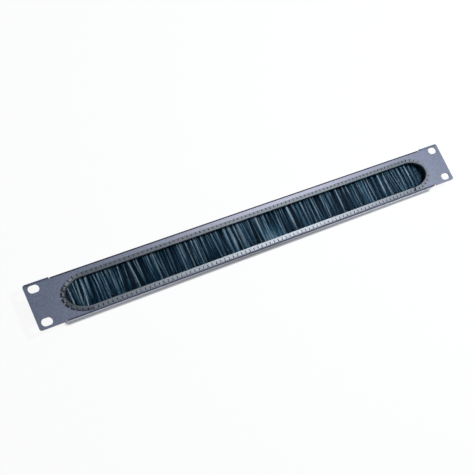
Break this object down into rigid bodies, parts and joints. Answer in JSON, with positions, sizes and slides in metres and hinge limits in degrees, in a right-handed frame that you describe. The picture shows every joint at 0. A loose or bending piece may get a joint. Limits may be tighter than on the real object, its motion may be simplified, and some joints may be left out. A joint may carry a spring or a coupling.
{
  "type": "rack brush panel",
  "caption": "Rack cable entry panel one unit high: folded steel face with slotted ears, a long round-ended cut-out with castellated edging and a bristle curtain behind it.",
  "frame": {"origin": "centre of the four rack slots on the rear face of the ears, which is the plane that meets the rack rails", "axes": "+X along the panel, +Y towards its top edge, +Z out of its face; it lies face up on the free edges of its flanges"},
  "size_m": [0.4826, 0.0436, 0.0143],
  "materials": {
    "panel_coating": "fine textured powder coat, satin",
    "edging": "smooth moulded nylon with a soft sheen",
    "bristle": "fine glossy filaments",
    "zinc_steel": "zinc plated",
    "rail_aluminium": "black anodised extrusion",
    "screw_steel": "black zinc"
  },
  "bodies": {
    "root": {"front_panel": "panel_coating", "edge_trim": "edging", "bristles": "bristle", "brush_channel": "zinc_steel", "core_wire": "zinc_steel", "brush_rail": "rail_aluminium", "rail_screw_1": "screw_steel", "rail_screw_2": "screw_steel", "rail_screw_3": "screw_steel", "rail_screw_4": "screw_steel"}
  },
  "joints": []
}
